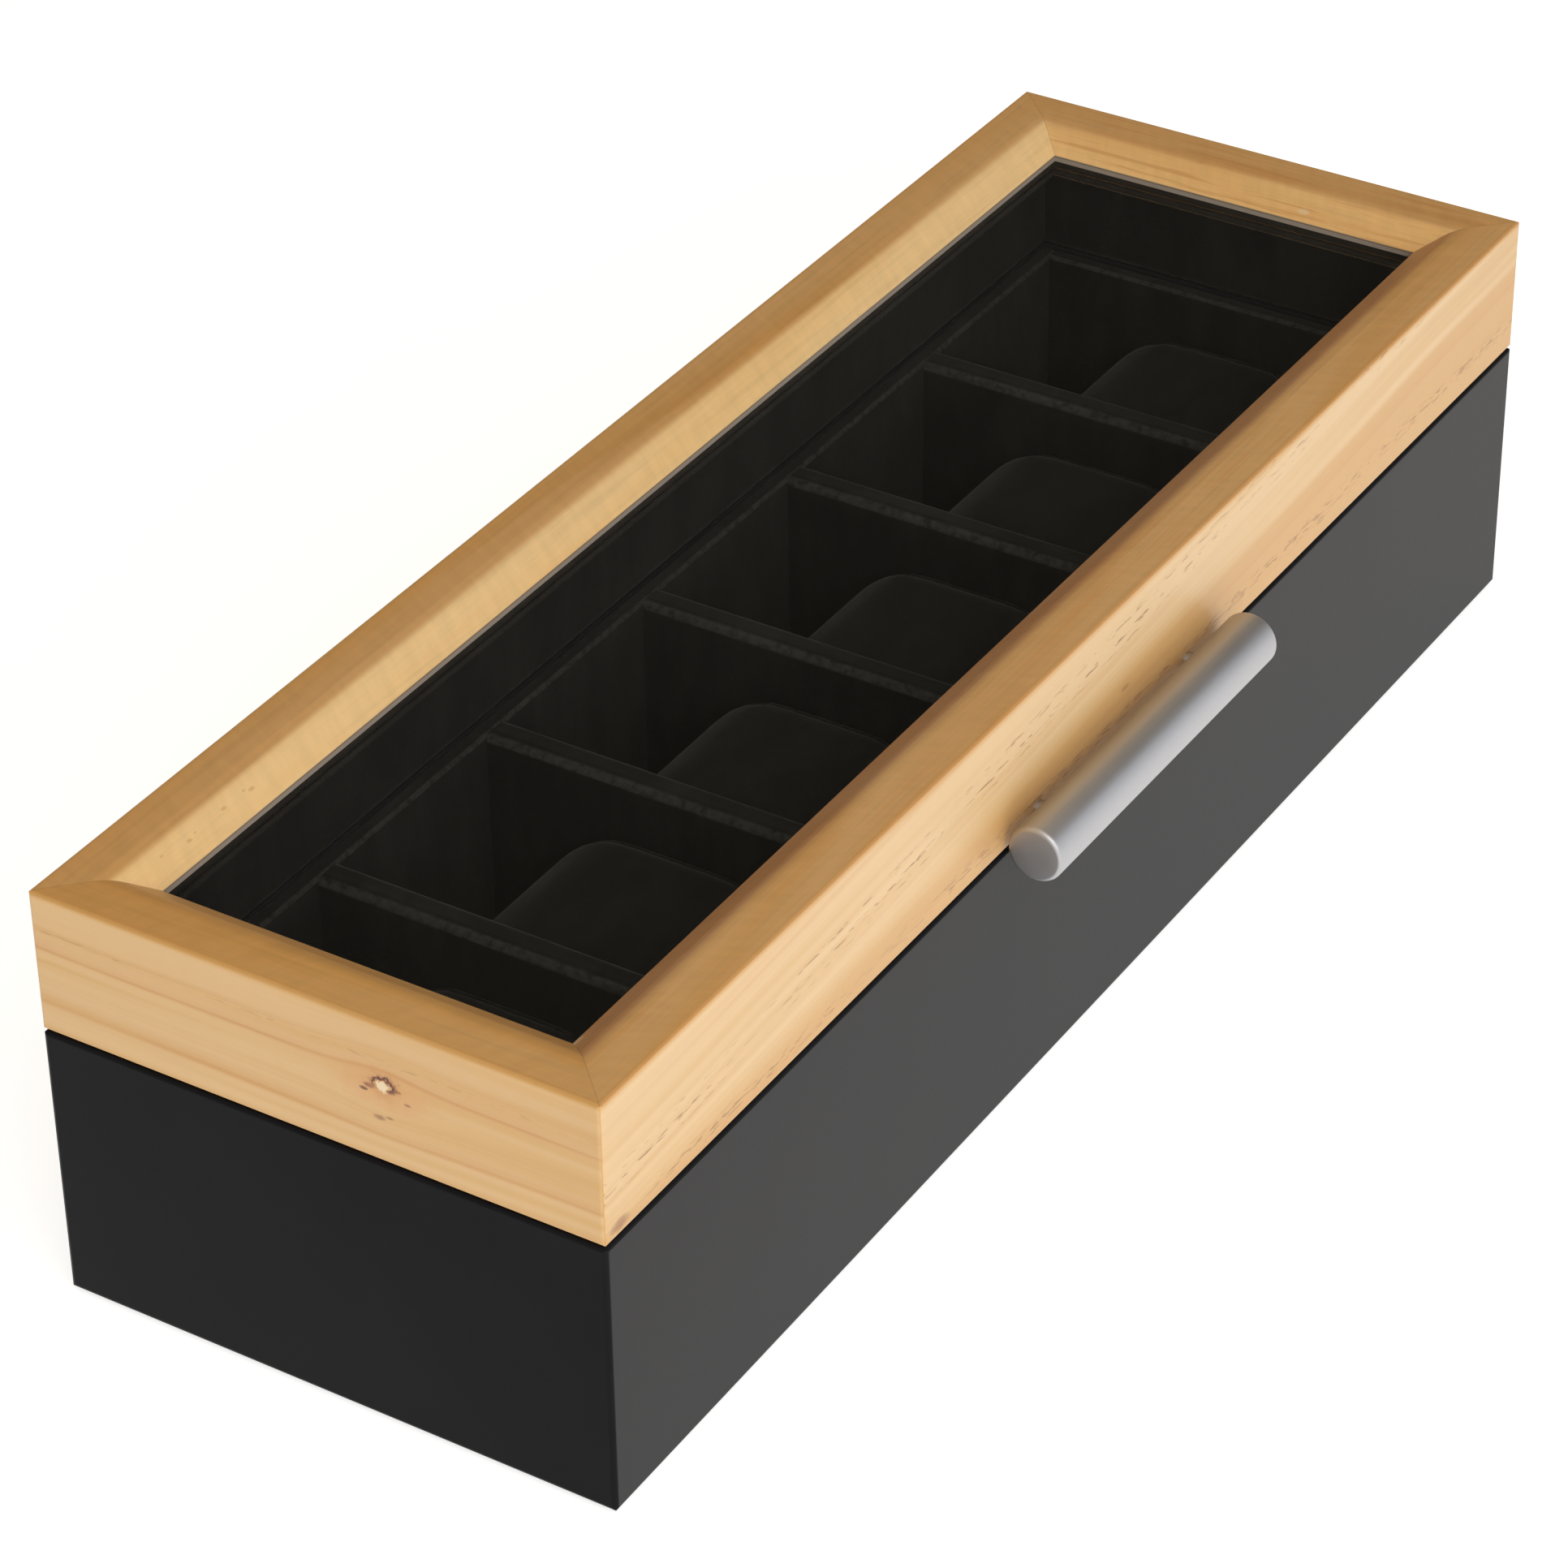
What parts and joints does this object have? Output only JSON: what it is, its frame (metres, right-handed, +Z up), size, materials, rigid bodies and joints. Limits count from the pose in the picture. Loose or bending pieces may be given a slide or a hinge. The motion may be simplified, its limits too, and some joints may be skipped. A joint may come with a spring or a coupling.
{
  "type": "watch box",
  "caption": "Long watch box with a matte black case, a pine-framed glass lid on rear hinges, a round bar handle, and pillows in a divided suede tray.",
  "frame": {"origin": "middle of the underside, on the surface that the box stands on", "axes": "+X along the length to the right seen from the front, -Y towards the front with the handle, +Z up"},
  "size_m": [0.36, 0.1425, 0.092],
  "materials": {
    "pine": "clear satin lacquer",
    "black_paint": "matte black paint on fibreboard",
    "board": "black-faced fibreboard",
    "felt": "black felt",
    "suede": "charcoal microsuede",
    "pillow_suede": "charcoal microsuede",
    "glass": "clear polished",
    "satin_nickel": "satin nickel",
    "hinge_steel": "satin nickel plate",
    "screw_steel": "nickel plate"
  },
  "bodies": {
    "case": {"base_front_panel": "black_paint", "base_right_panel": "black_paint", "base_back_panel": "black_paint", "base_left_panel": "black_paint", "bottom_board": "board", "underside_felt": "felt", "rim_pads": "felt", "tray_floor": "suede", "tray_front_wall": "suede", "tray_back_wall": "suede", "tray_left_wall": "suede", "tray_right_wall": "suede", "divider_1": "suede", "divider_2": "suede", "divider_3": "suede", "divider_4": "suede", "divider_5": "suede", "hinge_case_leaf_left": "hinge_steel", "hinge_pin_left": "hinge_steel", "hinge_case_leaf_right": "hinge_steel", "hinge_pin_right": "hinge_steel", "hinge_screws_case": "screw_steel"},
    "lid": {"lid_front_rail": "pine", "lid_right_rail": "pine", "lid_back_rail": "pine", "lid_left_rail": "pine", "lid_liner_front": "suede", "lid_liner_back": "suede", "lid_liner_left": "suede", "lid_liner_right": "suede", "glass_pane": "glass", "handle_bar": "satin_nickel", "handle_posts": "satin_nickel", "hinge_lid_leaf_left": "hinge_steel", "hinge_lid_leaf_right": "hinge_steel", "hinge_screws_lid": "screw_steel", "handle_studs": "screw_steel"},
    "pillow_1_body": {"pillow_1": "pillow_suede"},
    "pillow_2_body": {"pillow_2": "pillow_suede"},
    "pillow_3_body": {"pillow_3": "pillow_suede"},
    "pillow_4_body": {"pillow_4": "pillow_suede"},
    "pillow_5_body": {"pillow_5": "pillow_suede"},
    "pillow_6_body": {"pillow_6": "pillow_suede"}
  },
  "joints": [
    {"name": "lid_hinge", "type": "hinge", "parent": "case", "child": "lid", "pos_m": [0, 0.0633, 0.0611], "axis": [-1, 0, 0], "range_deg": [0, 97]},
    {"name": "pillow_1_lift", "type": "slide", "parent": "case", "child": "pillow_1_body", "axis": [0, 0, 1], "range_m": [0, 0.028]},
    {"name": "pillow_2_lift", "type": "slide", "parent": "case", "child": "pillow_2_body", "axis": [0, 0, 1], "range_m": [0, 0.028]},
    {"name": "pillow_3_lift", "type": "slide", "parent": "case", "child": "pillow_3_body", "axis": [0, 0, 1], "range_m": [0, 0.028]},
    {"name": "pillow_4_lift", "type": "slide", "parent": "case", "child": "pillow_4_body", "axis": [0, 0, 1], "range_m": [0, 0.028]},
    {"name": "pillow_5_lift", "type": "slide", "parent": "case", "child": "pillow_5_body", "axis": [0, 0, 1], "range_m": [0, 0.028]},
    {"name": "pillow_6_lift", "type": "slide", "parent": "case", "child": "pillow_6_body", "axis": [0, 0, 1], "range_m": [0, 0.028]}
  ]
}
